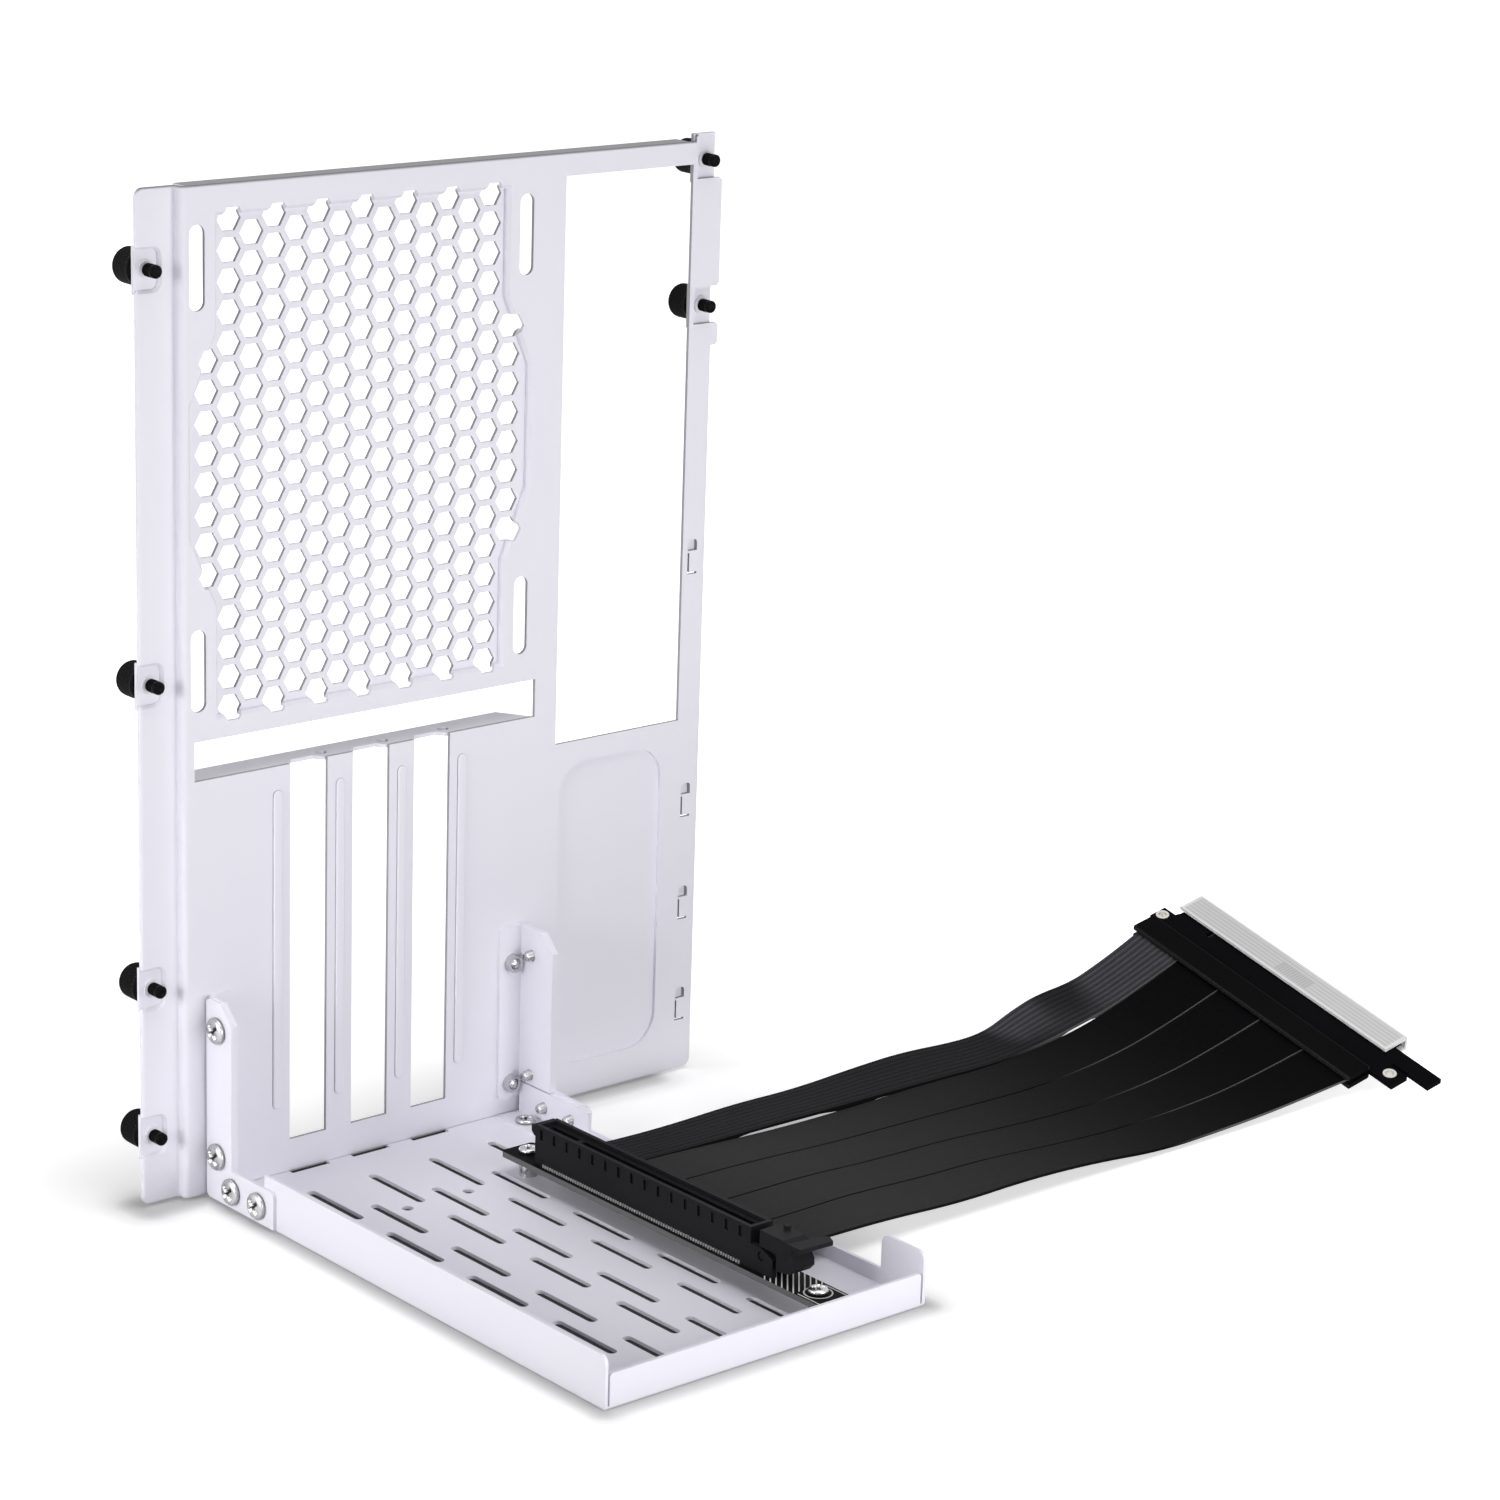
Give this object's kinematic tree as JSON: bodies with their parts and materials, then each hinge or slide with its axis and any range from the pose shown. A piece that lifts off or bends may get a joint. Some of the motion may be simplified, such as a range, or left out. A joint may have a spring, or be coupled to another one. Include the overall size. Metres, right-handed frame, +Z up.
{
  "type": "vertical graphics card mount",
  "caption": "Upright graphics card bracket: folded rear panel with a fan honeycomb, slotted tray with a card socket, and a flat ribbon lead to an edge plug.",
  "frame": {"origin": "centre of the tray's underside", "axes": "+X along the panel to the connector opening, +Y to the panel, +Z up"},
  "size_m": [0.3532, 0.1823, 0.274],
  "materials": {
    "white_coat": "satin powder coat",
    "black_knob": "black oxide",
    "zinc": "zinc plated",
    "nickel": "nickel plated",
    "circuit_board": "solder mask",
    "black_plastic": "moulded",
    "contact_metal": "tinned",
    "ribbon_jacket": "satin",
    "clear_plastic": "clear"
  },
  "bodies": {
    "mount_frame": {"rear_panel": "white_coat", "tray": "white_coat", "left_angle": "white_coat", "right_angle": "white_coat", "left_side_plate": "white_coat", "right_side_plate": "white_coat", "thumbscrew_retainers": "white_coat", "left_plate_screws": "zinc", "right_plate_screws": "zinc", "angle_screws": "zinc", "angle_nuts": "zinc", "tray_corner_screw": "zinc", "board_screws": "zinc", "board_standoffs": "zinc", "plug_eyelets": "nickel", "riser_board": "circuit_board", "plug_board": "circuit_board", "slot_housing": "black_plastic", "plug_cover_top": "black_plastic", "plug_cover_bottom": "black_plastic", "slot_contacts": "contact_metal", "ribbon_strip_1": "ribbon_jacket", "ribbon_strip_2": "ribbon_jacket", "ribbon_strip_3": "ribbon_jacket", "ribbon_strip_4": "ribbon_jacket", "ribbon_strip_5": "ribbon_jacket", "edge_cap": "clear_plastic"},
    "card_latch": {"slot_latch": "black_plastic"},
    "knob_left_1": {"thumbscrew_left_1": "black_knob"},
    "knob_left_2": {"thumbscrew_left_2": "black_knob"},
    "knob_left_3": {"thumbscrew_left_3": "black_knob"},
    "knob_left_4": {"thumbscrew_left_4": "black_knob"},
    "knob_right_1": {"thumbscrew_right_1": "black_knob"},
    "knob_right_2": {"thumbscrew_right_2": "black_knob"}
  },
  "joints": [
    {"name": "latch_hinge", "type": "hinge", "parent": "mount_frame", "child": "card_latch", "pos_m": [0.0244, -0.0567, 0.0122], "axis": [1, 0, 0], "range_deg": [0, 14]},
    {"name": "turn_left_1", "type": "hinge", "parent": "mount_frame", "child": "knob_left_1", "pos_m": [-0.0674, 0.08845, 0.2513], "axis": [0, 1, 0], "continuous": true},
    {"name": "turn_left_2", "type": "hinge", "parent": "mount_frame", "child": "knob_left_2", "pos_m": [-0.0674, 0.08845, 0.1435], "axis": [0, 1, 0], "continuous": true},
    {"name": "turn_left_3", "type": "hinge", "parent": "mount_frame", "child": "knob_left_3", "pos_m": [-0.0674, 0.08845, 0.0609], "axis": [0, 1, 0], "continuous": true},
    {"name": "turn_left_4", "type": "hinge", "parent": "mount_frame", "child": "knob_left_4", "pos_m": [-0.0674, 0.08845, 0.0197], "axis": [0, 1, 0], "continuous": true},
    {"name": "turn_right_1", "type": "hinge", "parent": "mount_frame", "child": "knob_right_1", "pos_m": [0.1126, 0.08545, 0.2668], "axis": [0, 1, 0], "continuous": true},
    {"name": "turn_right_2", "type": "hinge", "parent": "mount_frame", "child": "knob_right_2", "pos_m": [0.1126, 0.08545, 0.2262], "axis": [0, 1, 0], "continuous": true}
  ]
}
